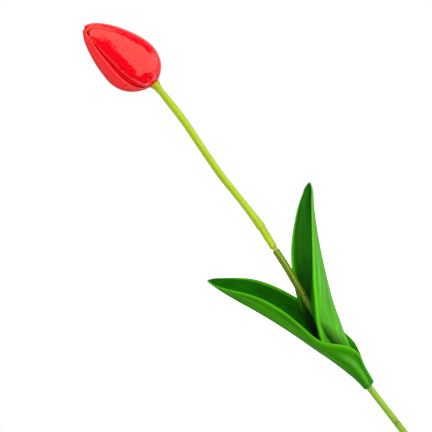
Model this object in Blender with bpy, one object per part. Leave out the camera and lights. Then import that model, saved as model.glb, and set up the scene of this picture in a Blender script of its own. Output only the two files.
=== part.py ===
"""An artificial tulip on a bendable wire stem.

A steel wire with a round plastic coating runs from the cut foot into the bud.
Four green sleeves are threaded on the coating, with open necks between them
where the wire bends. Two moulded leaves wrap the stem, one inside the other,
and six petals close round a foam core.

The frame: the origin is the centre of the cut foot, +Z runs up the straight
lower stem, +X is the side that the tall leaf leans to, and -Y is the front.
"""

import math

import bmesh
import bpy
import numpy as np

MM = 0.001

# Wire, coating and clearances, in millimetres like every size below.
WIRE_RADIUS = 0.9
COATING_RADIUS = 1.65
WIRE_FIT = 0.1
SLEEVE_FIT = 0.1
LEAF_FIT = 0.25
SEAT_GAP = 0.3

# The stem's sleeves, from the foot up, and the necks between them.
FOOT_LENGTH = 28.8
LOWER_LENGTH = 97.2
MIDDLE_LENGTH = 34.0
UPPER_LENGTH = 126.7
LOWER_NECK = 0.7
INNER_NECK = 0.5
UPPER_NECK = 2.0
FOOT_WALL = 0.4
LOWER_WALL = 0.42
MIDDLE_WALL = 0.55
END_ROUND = 0.5
END_WALL = 0.2
SLIT_ANGLE = 11.0
SLIT_DIRECTION = -80.0

# The upper sleeve: (height above its lower end, wall) up to the flare.
NODE_HEIGHT = 15.0
NODE_LENGTH = 1.8
NODE_WALL = 0.95
NODE_TAPER = 19.0
BELOW_NODE_WALL = 0.58
WAIST_WALL = 0.38
SHOULDER_WALL = 0.56
SHOULDER_LENGTH = 12.0
THROAT_WALL = 0.34
FLARE_LENGTH = 7.0
FLARE_RADIUS = 3.5
FLARE_LIP = 0.4
CUP_DEPTH = 1.6

# How far the stem's centre leans towards +X at each height.
STEM_LEAN = (
    (0, 0), (78, 0), (86, 0), (94, 0.1), (105, 0.6), (126, 2.3), (147.7, 5.0), (160, 6.0),
    (176, 7.6), (198, 7.8), (216, 7.5), (236, 8.5), (259, 9.9), (275, 9.8), (290, 9.4),
)
ROUTE_STEP = 9.0

# Leaves. A keel table gives the keel's distance from the stem at each height
# over the collar, less what it has at the base. A width table gives the
# flattened leaf's half width, a turn table the angle that each half turns
# through from keel to margin, and a fold table how much of that turn is
# crowded against the keel.
COLLAR_HEIGHT = 57.0
LEAF_THICKNESS = 1.0
LEAF_BASE_THICKNESS = 0.7
LEAF_MARGIN_SHARE = 0.75
SHEATH_EASE = 0.65
SEAM_TURN = 176.0

LOW_LEAF_DIRECTION = 155.0
LOW_KEEL = (
    (0, 0), (8, 0.8), (16, 2.6), (25, 4.9), (36, 8.5), (52, 14.7), (66, 20.6),
    (81, 27.4), (95, 34.0), (107, 39.0), (112, 40.8),
)
LOW_GROWTH = (
    (0, 0), (8, 3.6), (16, 10.0), (22, 11.4), (28, 10.4), (40, 8.4), (52, 8.9), (66, 8.5),
    (80, 7.6), (95, 4.2), (106, -2.7), (110, -6.8), (112, -10.1),
)
LOW_TURN = ((0, SEAM_TURN), (14, 175), (22, 150), (36, 88), (52, 70), (66, 69), (80, 66), (112, 30))
LOW_FOLD = ((0, 0), (16, 0.2), (36, 0.2), (60, 2.8), (112, 2.4))
LOW_FRONT_SWING = ((10, 0), (22, 0.6), (34, 2.0), (48, 1.2), (64, 0), (112, 0))
LOW_BACK_SWING = ((30, 0), (44, 1.4), (60, 3.6), (74, 3.4), (112, 0.0))

TALL_LEAF_DIRECTION = 21.0
TALL_LEAF_START = 1.0
TALL_KEEL = (
    (1, 0), (8, 0.4), (16, 1.5), (24, 2.9), (32, 4.7), (42, 8.0), (56, 12.8), (72, 20.0),
    (92, 30.5), (108, 40.8), (119, 48.8), (122, 50.2),
)
TALL_WIDTH = (
    (1, 2.3), (8, 3.8), (16, 7.6), (25, 14.4), (32, 18.4), (42, 20.2), (56, 22.2), (72, 23.5),
    (92, 21.4), (106, 15.8), (117, 8.6), (120.6, 4.8), (122, 1.2),
)
TALL_TURN = ((1, 58), (14, 101), (25, 117), (42, 96), (56, 75), (72, 58), (122, 24))
TALL_FOLD = ((1, 0), (16, 1.0), (36, 3.0), (60, 2.0), (122, 2.6))
# The tall leaf's front margin has a lip, which flares at the base and is rolled in higher
# up, by an angle. Beside the lip's base the leaf is dented towards the stem.
TALL_LIP = (
    (1, 0), (16, 0), (26, 0.6), (33, 1.3), (38, 1.5), (43, 0.9), (48, 1.8), (53, 3.3),
    (58, 2.9), (65, 1.6), (80, 0.2), (92, 0), (122, 0),
)
TALL_ROLL = (
    (1, 0), (16, 0), (24, -15), (32, -30), (38, -20), (43, 15), (48, 42), (53, 50),
    (58, 55), (65, 55), (80, 25), (92, 0), (122, 0),
)
TALL_DENT = ((1, 0), (12, 0), (20, 0.6), (27, 1.15), (33, 1.2), (39, 0.7), (46, 0.1), (54, 0), (122, 0))
ROLL_LENGTH = 2.0
FLAT = ((0, 0), (1, 0))

LEAF_ROWS = 30
LEAF_COLUMNS = 10

# The bud: an egg with its widest ring at BUD_WAIST, leaning from the stem.
BUD_LEAN = -15.3
BUD_RADIUS = 17.5
BUD_WAIST = 21.0
BUD_POINT = 35.6
BUD_BASE_POWER = 2.3
BUD_POINT_POWER = 1.42
BUD_BLUNTNESS = 0.6
BUD_BOW = ((0, 0), (4, 0), (11, -0.55), (20, -0.95), (32, -0.65), (44, -0.2), (56.6, 0))
BUD_SEAT_RADIUS = 9.0
BUD_SEAT_SHIFT = -0.4
BUD_SEAT_EASE = 0.2
PETAL_THICKNESS = 1.0
PETAL_MARGIN_SHARE = 0.4
# How far a margin draws in to the bud's axis: as a broad crown, and as a narrow roll.
TUCKED_MARGIN = (0.055, 0.06)
LAPPING_MARGIN = (0.015, 0.0)
# The seams between the outer petals: height, angle from the front. Half of each seam's
# opening follows, as height, angle; where it is negative, the front petal laps the other.
LEFT_SEAM = (
    (1, -84), (5.7, -59), (9.1, -48.4), (13.4, -40.7), (17.4, -37.2), (21.7, -34.2),
    (26.6, -32.2), (36.7, -31.4), (42.2, -31), (45.6, -30.2), (51, -28.5), (55.5, -27),
)
LEFT_GAP = (
    (1, 3), (3.5, 9), (5.7, 12), (9.1, 11.6), (13.4, 9.7), (17.4, 8.9), (21.7, 7.8),
    (31.6, 5.7), (36.7, 5.1), (42.2, 3.1), (45.6, 2), (51, 2), (55.5, 3),
)
RIGHT_SEAM = (
    (1, 79), (6.6, 61), (11, 51.6), (17.8, 51.2), (24.7, 50.7), (30.9, 47.7), (36.5, 41.5),
    (42.5, 37.9), (47.2, 32.4), (50, 24), (50.9, 14), (51.6, -12), (52.4, -21), (55.5, -24),
)
RIGHT_GAP = ((1, 2), (6.6, 1.5), (10, -3), (14, -4), (33, -4), (37, -3), (42.5, 1.5), (47.2, 3), (55, 3))
BACK_SEAM = ((1, 184), (54, 184))
BACK_GAP = ((1, 2), (14, 3.5), (42, 3.5), (54, 3))
FRONT_PETAL_TIP = 50.7
RIGHT_PETAL_TIP = 56.2
LEFT_PETAL_TIP = 55.8
PETAL_START = 0.9
INNER_PETAL_START = 1.7
INNER_PETAL_TIP = 53.5
INNER_PETAL_TURN = -37.2
INNER_PETAL_PITCH = 120.0
INNER_PETAL_GAP = 3.0
POINTED_TIP_LENGTH = 5.0
FRONT_TIP_LENGTH = 3.5
BLUNT_TIP_LENGTH = 0.8
PETAL_ROWS = 16
CORE_START = 2.4
CORE_END = 51.5
CORE_EASE = 0.2
WIRE_IN_CORE = 12.0

# Radii that follow from the fits.
SLEEVE_BORE = COATING_RADIUS + SLEEVE_FIT
LOWER_RADIUS = SLEEVE_BORE + LOWER_WALL

# Heights of the necks and of the flare's rim.
LOWER_NECK_HEIGHT = FOOT_LENGTH
INNER_NECK_HEIGHT = LOWER_NECK_HEIGHT + LOWER_LENGTH
UPPER_NECK_HEIGHT = INNER_NECK_HEIGHT + MIDDLE_LENGTH
STEM_TOP = UPPER_NECK_HEIGHT + UPPER_LENGTH

# Sides of the round pieces.
WIRE_SIDES = 8
COATING_SIDES = 12
SLEEVE_SIDES = 16
CORE_SIDES = 24


def smooth(table, position):
    """Value at a position on a smooth curve through a table's points."""
    places = np.array([row[0] for row in table], float)
    values = np.array([row[1] for row in table], float)
    slopes = np.gradient(values, places)
    place = min(max(position, places[0]), places[-1])
    i = min(max(int(np.searchsorted(places, place)) - 1, 0), len(places) - 2)
    span = places[i + 1] - places[i]
    t = (place - places[i]) / span
    start = values[i] * (2 * t**3 - 3 * t**2 + 1) + slopes[i] * span * (t**3 - 2 * t**2 + t)
    end = values[i + 1] * (3 * t**2 - 2 * t**3) + slopes[i + 1] * span * (t**3 - t**2)
    return start + end


def stem_point(height):
    """Centre of the stem at a height."""
    return np.array((smooth(STEM_LEAN, height), 0.0, height))


def stations(start, end):
    """Heights of a sleeve's rings, shared with every other sleeve there."""
    first = math.ceil((start + 1) / ROUTE_STEP)
    last = math.floor((end - 1) / ROUTE_STEP)
    return [start] + [i * ROUTE_STEP for i in range(first, last + 1)] + [end]


def bore_radius(radius, fit, sides):
    """Radius of a faceted bore whose flats clear a round piece by the fit."""
    return (radius + fit) / math.cos(math.pi / sides)


def make_material(name, colour, roughness, metallic=0.0):
    """A plain Principled finish."""
    material = bpy.data.materials.new(name)
    material.use_nodes = True
    shader = material.node_tree.nodes["Principled BSDF"]
    shader.inputs["Base Color"].default_value = (*colour, 1.0)
    shader.inputs["Roughness"].default_value = roughness
    shader.inputs["Metallic"].default_value = metallic
    return material


def make_object(name, points, faces, finish, parent=None):
    """An object from points in millimetres, with its origin on its parent."""
    pivot = np.array(parent.location) if parent else np.zeros(3)
    mesh = bpy.data.meshes.new(name)
    mesh.from_pydata([tuple(np.array(p) * MM - pivot) for p in points], [], faces)
    build = bmesh.new()
    build.from_mesh(mesh)
    bmesh.ops.recalc_face_normals(build, faces=build.faces)
    build.to_mesh(mesh)
    build.free()
    mesh.shade_smooth()
    mesh.set_sharp_from_angle(angle=math.radians(40))
    mesh.materials.append(make_material(name, *finish))
    item = bpy.data.objects.new(name, mesh)
    bpy.context.scene.collection.objects.link(item)
    item.parent = parent
    return item


def make_axis(name, place):
    """An empty on a joint's axis."""
    empty = bpy.data.objects.new(name, None)
    empty.empty_display_size = 5 * MM
    empty.location = tuple(np.array(place) * MM)
    bpy.context.scene.collection.objects.link(empty)
    return empty


def ring(centre, along, radius, sides, slit=0.0, slit_direction=0.0):
    """Points round a centre, square to a direction in the XZ plane."""
    along = along / np.linalg.norm(along)
    front = np.array((0.0, 1.0, 0.0))
    side = np.cross(front, along)
    points = []
    steps = sides if slit == 0 else sides + 1
    for i in range(steps):
        angle = math.radians(slit_direction + slit / 2) + math.radians(360 - slit) * i / sides
        points.append(centre + radius * (math.cos(angle) * side + math.sin(angle) * front))
    return points


def tube_mesh(centres, outer, inner, sides, slit=0.0, slit_direction=0.0):
    """Points and faces of a round tube, a slit tube or, with no inner radii, a rod."""
    centres = np.array(centres)
    alongs = np.gradient(centres, axis=0)
    count = sides if slit == 0 else sides + 1
    points = []
    for centre, along, radius in zip(centres, alongs, outer):
        points += ring(centre, along, radius, sides, slit, slit_direction)
    last = len(centres) - 1
    loop = range(sides)

    def wall(first_point):
        return [
            (
                first_point + row * count + i,
                first_point + row * count + (i + 1) % count,
                first_point + (row + 1) * count + (i + 1) % count,
                first_point + (row + 1) * count + i,
            )
            for row in range(last)
            for i in loop
        ]

    faces = wall(0)
    if inner is None:
        faces.append(tuple(range(count)))
        faces.append(tuple(range(last * count, (last + 1) * count)))
        return points, faces
    bore = len(points)
    for centre, along, radius in zip(centres, alongs, inner):
        points += ring(centre, along, radius, sides, slit, slit_direction)
    faces += wall(bore)
    for row in (0, last):
        a = row * count
        faces += [(a + i, a + (i + 1) % count, bore + a + (i + 1) % count, bore + a + i) for i in loop]
    if slit:
        for edge in (0, count - 1):
            faces += [
                (
                    row * count + edge,
                    (row + 1) * count + edge,
                    bore + (row + 1) * count + edge,
                    bore + row * count + edge,
                )
                for row in range(last)
            ]
    return points, faces


def sleeve(name, profile, finish, parent=None, bores=None, slit=0.0, slit_direction=0.0):
    """A sleeve threaded on the coating. The profile gives its wall at each height."""
    heights = [row[0] for row in profile]
    extra = [h for h in stations(heights[0], heights[-1]) if min(abs(h - k) for k in heights) > 1]
    heights = sorted(heights + extra)
    walls = np.interp(heights, [row[0] for row in profile], [row[1] for row in profile])
    bore = bore_radius(COATING_RADIUS, SLEEVE_FIT, SLEEVE_SIDES)
    inner = np.full(len(heights), bore) if bores is None else np.interp(heights, *zip(*bores))
    outer = SLEEVE_BORE + walls
    centres = [stem_point(h) for h in heights]
    points, faces = tube_mesh(centres, outer, inner, SLEEVE_SIDES, slit, slit_direction)
    return make_object(name, points, faces, finish, parent)


def rounded_ends(start, end, wall):
    """Profile of an even sleeve with rounded ends."""
    return [(start, END_WALL), (start + END_ROUND, wall), (end - END_ROUND, wall), (end, END_WALL)]


def make_foot():
    """The cut lowest sleeve, square at the foot."""
    top = LOWER_NECK_HEIGHT - LOWER_NECK / 2
    profile = [(0, FOOT_WALL), (top - END_ROUND, FOOT_WALL), (top, END_WALL)]
    return sleeve("stem_foot", profile, ((0.30, 0.50, 0.05), 0.45))


def make_lower_sleeve(parent):
    """The straight sleeve that the leaves turn on."""
    start = LOWER_NECK_HEIGHT + LOWER_NECK / 2
    end = INNER_NECK_HEIGHT - INNER_NECK / 2
    profile = rounded_ends(start, end, LOWER_WALL)
    return sleeve("stem_lower", profile, ((0.30, 0.50, 0.05), 0.45), parent)


def make_middle_sleeve(parent):
    """The olive sleeve, slit along its front so that it clips over the coating."""
    start = INNER_NECK_HEIGHT + INNER_NECK / 2
    end = UPPER_NECK_HEIGHT - UPPER_NECK / 2
    profile = rounded_ends(start, end, MIDDLE_WALL)
    finish = ((0.24, 0.36, 0.02), 0.45)
    return sleeve("stem_middle", profile, finish, parent, None, SLIT_ANGLE, SLIT_DIRECTION)


def make_upper_sleeve(parent):
    """The long upper sleeve, with its node ring, waist, shoulder and flared cup."""
    start = UPPER_NECK_HEIGHT + UPPER_NECK / 2
    node = start + NODE_HEIGHT
    flare = STEM_TOP - FLARE_LENGTH
    waist = node + NODE_TAPER
    shoulder = (waist + flare) / 2
    flare_wall = FLARE_RADIUS - SLEEVE_BORE
    profile = [
        (start, END_WALL),
        (start + END_ROUND, BELOW_NODE_WALL),
        (node - 0.5, BELOW_NODE_WALL),
        (node, NODE_WALL),
        (node + NODE_LENGTH, NODE_WALL),
        (node + NODE_TAPER / 2, (NODE_WALL + WAIST_WALL) / 2 - 0.05),
        (waist, WAIST_WALL),
        (shoulder, SHOULDER_WALL * 0.8),
        (flare - SHOULDER_LENGTH, SHOULDER_WALL),
        (flare, THROAT_WALL),
        (STEM_TOP - FLARE_LENGTH * 0.6, THROAT_WALL + flare_wall * 0.12),
        (STEM_TOP - FLARE_LENGTH * 0.3, THROAT_WALL + flare_wall * 0.45),
        (STEM_TOP - 0.4, flare_wall),
        (STEM_TOP, flare_wall - 0.1),
    ]
    bore = bore_radius(COATING_RADIUS, SLEEVE_FIT, SLEEVE_SIDES)
    bores = [(start, bore), (STEM_TOP - CUP_DEPTH, bore), (STEM_TOP, FLARE_RADIUS - FLARE_LIP)]
    return sleeve("stem_upper", profile, ((0.42, 0.60, 0.04), 0.4), parent, bores)


def make_coating():
    """The round coating that the sleeves are threaded on."""
    heights = stations(0, STEM_TOP - CUP_DEPTH)
    centres = [stem_point(h) for h in heights]
    outer = [COATING_RADIUS] * len(heights)
    inner = [bore_radius(WIRE_RADIUS, WIRE_FIT, COATING_SIDES)] * len(heights)
    points, faces = tube_mesh(centres, outer, inner, COATING_SIDES)
    return make_object("wire_coating", points, faces, ((0.36, 0.55, 0.06), 0.5))


def bud_frame():
    """Origin on the bud's axis at its base, and the bud's right, back and up directions."""
    lean = math.radians(BUD_LEAN)
    up = np.array((math.sin(lean), 0.0, math.cos(lean)))
    right = np.array((math.cos(lean), 0.0, -math.sin(lean)))
    back = np.array((0.0, 1.0, 0.0))
    seat = math.sqrt(BUD_SEAT_RADIUS**2 - FLARE_RADIUS**2) + SEAT_GAP + BUD_SEAT_EASE
    centre = stem_point(STEM_TOP) + np.array((BUD_SEAT_SHIFT, 0.0, seat))
    return centre - BUD_SEAT_RADIUS * up, right, back, up


def wire_centres():
    """Centre line of the wire: up the stem, into the bud and on along its axis."""
    origin, _, _, up = bud_frame()
    centre = origin + BUD_SEAT_RADIUS * up
    centres = [stem_point(h) for h in stations(0, STEM_TOP)]
    centres.append((centres[-1] + centre) / 2)
    centres.append(centre)
    centres.append(centre + WIRE_IN_CORE / 2 * up)
    centres.append(centre + WIRE_IN_CORE * up)
    return centres


def make_wire():
    """The steel wire, from the cut foot into the bud's core."""
    centres = wire_centres()
    points, faces = tube_mesh(centres, [WIRE_RADIUS] * len(centres), None, WIRE_SIDES)
    return make_object("core_wire", points, faces, ((0.55, 0.55, 0.56), 0.35, 1.0))


def shell_mesh(outer, inner):
    """Points and faces of a closed shell between two grids of points."""
    rows, columns = outer.shape[:2]
    points = list(outer.reshape(-1, 3)) + list(inner.reshape(-1, 3))
    half = rows * columns
    quads = [
        (r * columns + c, r * columns + c + 1, (r + 1) * columns + c + 1, (r + 1) * columns + c)
        for r in range(rows - 1)
        for c in range(columns - 1)
    ]
    faces = quads + [tuple(half + i for i in quad) for quad in quads]
    top = (rows - 1) * columns
    border = list(range(columns)) + [r * columns + columns - 1 for r in range(1, rows)]
    border += [top + c for c in range(columns - 2, -1, -1)]
    border += [r * columns for r in range(rows - 2, 0, -1)]
    for a, b in zip(border, border[1:] + border[:1]):
        faces.append((a, b, half + b, half + a))
    return points, faces


def half_section(h, width, turn, fold, swing=FLAT, lip=FLAT, roll=FLAT, dent=FLAT):
    """Points across half a leaf at a height, from its keel, as (sideways, inwards) pairs.

    The swing moves the half outwards, by the full amount at its margin. The lip is
    added to the width, and the roll turns it further than the half itself turns.
    """
    turn, fold, swing, lip, roll, dent = [
        smooth(table, h) for table in (turn, fold, swing, lip, roll, dent)
    ]
    steps = LEAF_COLUMNS * 4
    step = (width + lip) / steps
    place = (np.arange(steps) + 0.5) * step
    t = np.minimum(place / width, 1)
    share = t if fold < 0.05 else (1 - np.exp(-fold * t)) / (1 - math.exp(-fold))
    rolled = np.clip((place - width) / ROLL_LENGTH + 0.75, 0, 1)
    heading = np.radians(turn * share + roll * rolled)
    side = np.concatenate(([0], np.cumsum(np.cos(heading)))) * step
    inwards = np.concatenate(([0], np.cumsum(np.sin(heading)))) * step
    reach = np.arange(LEAF_COLUMNS + 1) / LEAF_COLUMNS
    hollow = np.sin(math.pi * np.clip((reach - 0.3) / 0.6, 0, 1)) ** 2
    return list(zip(side[::4] + swing * reach**2 - dent * hollow, inwards[::4]))


def leaf_grid(direction, keel, width, turn, fold, first, second):
    """Middle surface of a leaf, as rows from base to tip, each from margin to margin.

    The first and second halves have tables of their own for what half_section adds.
    """
    angle = math.radians(direction)
    out = np.array((math.cos(angle), math.sin(angle), 0.0))
    side = np.array((-math.sin(angle), math.cos(angle), 0.0))
    up = np.array((0.0, 0.0, 1.0))
    low, high = keel[0][0], keel[-1][0]
    keel_base = LOWER_RADIUS + LEAF_FIT + LEAF_BASE_THICKNESS / 2
    grid = []
    for i in range(LEAF_ROWS):
        u = i / (LEAF_ROWS - 1)
        h = low + (high - low) * (0.5 * u + 0.5 * math.sin(u * math.pi / 2))
        step = 0.5
        slope = (smooth(keel, h + step) - smooth(keel, h - step)) / (
            min(h + step, high) - max(h - step, low)
        )
        inwards = (slope * up - out) / math.hypot(slope, 1)
        centre = out * (keel_base + smooth(keel, h)) + up * (COLLAR_HEIGHT + h)
        left, right = [
            [
                centre + way * side * s + inwards * n
                for s, n in half_section(h, width(h), turn, fold, **tables)
            ]
            for way, tables in ((-1, first), (1, second))
        ]
        left = left[:0:-1]
        grid.append(left + right)
    return np.array(grid)


def make_leaf(name, grid, colour, parent):
    """A leaf of its middle surface, thin at the base and at the margins."""
    across = np.gradient(grid, axis=1)
    along = np.gradient(grid, axis=0)
    normal = np.cross(across, along)
    normal /= np.linalg.norm(normal, axis=2, keepdims=True)
    height = grid[:, LEAF_COLUMNS, 2] - COLLAR_HEIGHT
    body = np.interp(height, (10, 30), (LEAF_BASE_THICKNESS, LEAF_THICKNESS))
    offset = np.abs(np.linspace(-1, 1, grid.shape[1]))
    share = 1 - (1 - LEAF_MARGIN_SHARE) * offset**4
    half = (body[:, None] * share[None, :] / 2)[..., None]
    points, faces = shell_mesh(grid + normal * half, grid - normal * half)
    return make_object(name, points, faces, (colour, 0.38), parent)


def make_low_leaf(parent):
    """The outer leaf, whose base is rolled into a sheath round the stem and the tall leaf."""
    keel_side = LOWER_RADIUS + LEAF_FIT + LEAF_BASE_THICKNESS / 2
    far_side = keel_side + LEAF_BASE_THICKNESS + SEAT_GAP + SHEATH_EASE
    base_width = math.radians(SEAM_TURN) * (keel_side + far_side) / 2

    def width(h):
        return base_width + smooth(LOW_GROWTH, h)

    back = {"swing": LOW_BACK_SWING}
    front = {"swing": LOW_FRONT_SWING}
    grid = leaf_grid(LOW_LEAF_DIRECTION, LOW_KEEL, width, LOW_TURN, LOW_FOLD, back, front)
    return make_leaf("low_leaf", grid, (0.045, 0.27, 0.01), parent)


def make_tall_leaf(parent):
    """The inner leaf, whose base lies between the stem and the sheath."""

    def width(h):
        return smooth(TALL_WIDTH, h)

    front = {"lip": TALL_LIP, "roll": TALL_ROLL, "dent": TALL_DENT}
    grid = leaf_grid(TALL_LEAF_DIRECTION, TALL_KEEL, width, TALL_TURN, TALL_FOLD, front, {})
    return make_leaf("tall_leaf", grid, (0.07, 0.33, 0.02), parent)


def bud_profile(h):
    """Radius of the bud's egg at a height over its base."""
    if h < BUD_WAIST:
        share = ((BUD_WAIST - h) / BUD_WAIST) ** BUD_BASE_POWER
    else:
        share = ((h - BUD_WAIST) / BUD_POINT) ** BUD_POINT_POWER
    return BUD_RADIUS * max(1 - share, 0) ** BUD_BLUNTNESS


def bud_point(h, angle, scale, depth):
    """A point at a depth under the egg's surface, where scale draws the egg in."""
    origin, right, back, up = bud_frame()
    step = 0.05
    slope = scale * (bud_profile(h + step) - bud_profile(h - step)) / (2 * step)
    length = math.hypot(1, slope)
    radius = scale * bud_profile(h) - depth / length
    height = h + depth * slope / length
    a = math.radians(angle)
    side = smooth(BUD_BOW, h) + radius * math.sin(a)
    return origin + up * height + side * right - radius * math.cos(a) * back


def inner_depth(h):
    """Depth of the inner petals under the egg: least at the waist, where the margins are thin."""
    at_margins = PETAL_MARGIN_SHARE * PETAL_THICKNESS + SEAT_GAP
    at_ends = PETAL_THICKNESS + SEAT_GAP
    reach = BUD_WAIST if h < BUD_WAIST else BUD_POINT
    return at_margins + (at_ends - at_margins) * ((h - BUD_WAIST) / reach) ** 2


def make_petal(name, edges, margins, start, tip, tip_length, columns, finish, parent):
    """A petal between two edges, given as functions of height, with a rounded tip.

    An outer petal has a pair of margins: it crowns between them, and thins towards them.
    An inner one has None, and lies evenly under the others' margins.
    """
    grids = ([], [])
    for i in range(PETAL_ROWS):
        h = start + (tip - start) * (1 - math.cos(math.pi * i / (PETAL_ROWS - 1))) / 2
        low, high = edges(min(h, tip - 1))
        middle = (low + high) / 2
        into_tip = min(max(1 - (tip - h) / tip_length, 0), 1)
        half = (high - low) / 2 * math.sqrt(1 - (0.97 * into_tip) ** 2)
        depth = 0 if margins else inner_depth(h)
        for side in (0, 1):
            row = []
            for c in range(columns + 1):
                x = math.sin(math.pi * (c / columns - 0.5))
                scale = 1 - sum(TUCKED_MARGIN)
                thickness = PETAL_THICKNESS
                if margins:
                    crown, roll = margins[x > 0]
                    scale = 1 - crown * x**2 - roll * x**8
                    thickness *= 1 - (1 - PETAL_MARGIN_SHARE) * x**6
                row.append(bud_point(h, middle + half * x, scale, depth + side * thickness))
            grids[side].append(row)
    points, faces = shell_mesh(np.array(grids[0]), np.array(grids[1]))
    return make_object(name, points, faces, finish, parent)


def make_outer_petals(parent):
    """The three petals that show, one in front and one at each side."""
    seams = ((LEFT_SEAM, LEFT_GAP), (RIGHT_SEAM, RIGHT_GAP), (BACK_SEAM, BACK_GAP))
    colours = ((0.95, 0.03, 0.03), (0.93, 0.035, 0.035), (0.93, 0.03, 0.03))
    tucked = (TUCKED_MARGIN, TUCKED_MARGIN)
    lapping = (TUCKED_MARGIN, LAPPING_MARGIN)
    petals = (
        ("outer_petal_front", 0, 1, 0, lapping, FRONT_PETAL_TIP, FRONT_TIP_LENGTH, 10),
        ("outer_petal_right", 1, 2, 0, tucked, RIGHT_PETAL_TIP, BLUNT_TIP_LENGTH, 14),
        ("outer_petal_left", 2, 0, -360, tucked, LEFT_PETAL_TIP, BLUNT_TIP_LENGTH, 14),
    )
    for (name, first, second, turn, margins, tip, tip_length, columns), colour in zip(petals, colours):

        def edges(h, first=first, second=second, turn=turn):
            low = smooth(seams[first][0], h) + smooth(seams[first][1], h) + turn
            high = smooth(seams[second][0], h) - smooth(seams[second][1], h)
            return low, high

        finish = (colour, 0.22)
        make_petal(name, edges, margins, PETAL_START, tip, tip_length, columns, finish, parent)


def make_inner_petals(parent):
    """The three petals under them, each behind a seam."""
    start = INNER_PETAL_START
    tip = INNER_PETAL_TIP
    length = POINTED_TIP_LENGTH
    reach = INNER_PETAL_PITCH / 2 - INNER_PETAL_GAP
    for i in range(3):
        centre = INNER_PETAL_TURN + INNER_PETAL_PITCH * i

        def edges(h, centre=centre):
            return centre - reach, centre + reach

        name = f"inner_petal_{i + 1}"
        finish = ((0.80, 0.01, 0.015), 0.35)
        make_petal(name, edges, None, start, tip, length, 10, finish, parent)


def make_bud_core(parent):
    """The foam core, bored for the wire."""
    scale = 1 - sum(TUCKED_MARGIN)
    rows = 11
    points = []
    for i in range(rows):
        h = CORE_START + (CORE_END - CORE_START) * (1 - math.cos(math.pi * i / (rows - 1))) / 2
        depth = inner_depth(h) + PETAL_THICKNESS + SEAT_GAP + CORE_EASE
        for c in range(CORE_SIDES):
            points.append(bud_point(h, 360 * c / CORE_SIDES, scale, depth))
    faces = [
        (
            r * CORE_SIDES + c,
            r * CORE_SIDES + (c + 1) % CORE_SIDES,
            (r + 1) * CORE_SIDES + (c + 1) % CORE_SIDES,
            (r + 1) * CORE_SIDES + c,
        )
        for r in range(rows - 1)
        for c in range(CORE_SIDES)
    ]
    faces.append(tuple(range(CORE_SIDES)))
    faces.append(tuple(range((rows - 1) * CORE_SIDES, rows * CORE_SIDES)))
    core = make_object("bud_core", points, faces, ((0.75, 0.12, 0.10), 0.9), parent)

    centres = wire_centres()[-6:]
    up = bud_frame()[3]
    centres[-1] = centres[-1] + SEAT_GAP * up
    radii = [bore_radius(WIRE_RADIUS, WIRE_FIT, WIRE_SIDES)] * len(centres)
    bore_points, bore_faces = tube_mesh(centres, radii, None, WIRE_SIDES)
    cutter = make_object("wire_bore", bore_points, bore_faces, ((0.5, 0.5, 0.5), 0.5), parent)
    cutter.hide_render = True
    cutter.display_type = "WIRE"
    bore = core.modifiers.new("wire bore", "BOOLEAN")
    bore.operation = "DIFFERENCE"
    bore.solver = "EXACT"
    bore.object = cutter


def main():
    """Build the tulip."""
    for item in list(bpy.data.objects):
        bpy.data.objects.remove(item)

    lower_bend = make_axis("lower_bend_axis", stem_point(LOWER_NECK_HEIGHT))
    leaf_turn = make_axis("leaf_turn_axis", stem_point(COLLAR_HEIGHT))
    upper_bend = make_axis("upper_bend_axis", stem_point(UPPER_NECK_HEIGHT))

    make_wire()
    make_coating()
    make_foot()
    make_lower_sleeve(lower_bend)
    make_middle_sleeve(lower_bend)
    make_low_leaf(leaf_turn)
    make_tall_leaf(leaf_turn)
    make_upper_sleeve(upper_bend)
    make_bud_core(upper_bend)
    make_inner_petals(upper_bend)
    make_outer_petals(upper_bend)


main()
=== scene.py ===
"""Looks of the artificial tulip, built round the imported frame.

Shapes are written in millimetres, in the row frame: the origin at the centre
of the cut foot, +Z up the lower stem, -Y towards the camera. The leaves' heights
count from their collar, and the bud's from its base, along its own axis.
"""

import math

import bpy
import numpy as np
from mathutils import Matrix, Vector


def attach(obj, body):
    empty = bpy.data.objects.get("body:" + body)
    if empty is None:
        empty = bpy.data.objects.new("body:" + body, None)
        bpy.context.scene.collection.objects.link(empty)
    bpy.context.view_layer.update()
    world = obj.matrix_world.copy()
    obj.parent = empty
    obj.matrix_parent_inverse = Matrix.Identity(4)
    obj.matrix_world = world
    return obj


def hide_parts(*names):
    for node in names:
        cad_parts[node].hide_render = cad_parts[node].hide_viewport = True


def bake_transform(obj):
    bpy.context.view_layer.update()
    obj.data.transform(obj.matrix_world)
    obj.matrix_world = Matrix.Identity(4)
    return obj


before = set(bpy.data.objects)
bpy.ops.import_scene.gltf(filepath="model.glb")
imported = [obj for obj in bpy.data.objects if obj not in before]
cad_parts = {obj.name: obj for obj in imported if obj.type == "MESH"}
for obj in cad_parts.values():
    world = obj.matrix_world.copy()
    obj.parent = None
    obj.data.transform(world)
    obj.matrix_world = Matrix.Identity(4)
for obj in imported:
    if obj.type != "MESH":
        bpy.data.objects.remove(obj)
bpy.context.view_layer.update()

MM = 0.001

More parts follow.
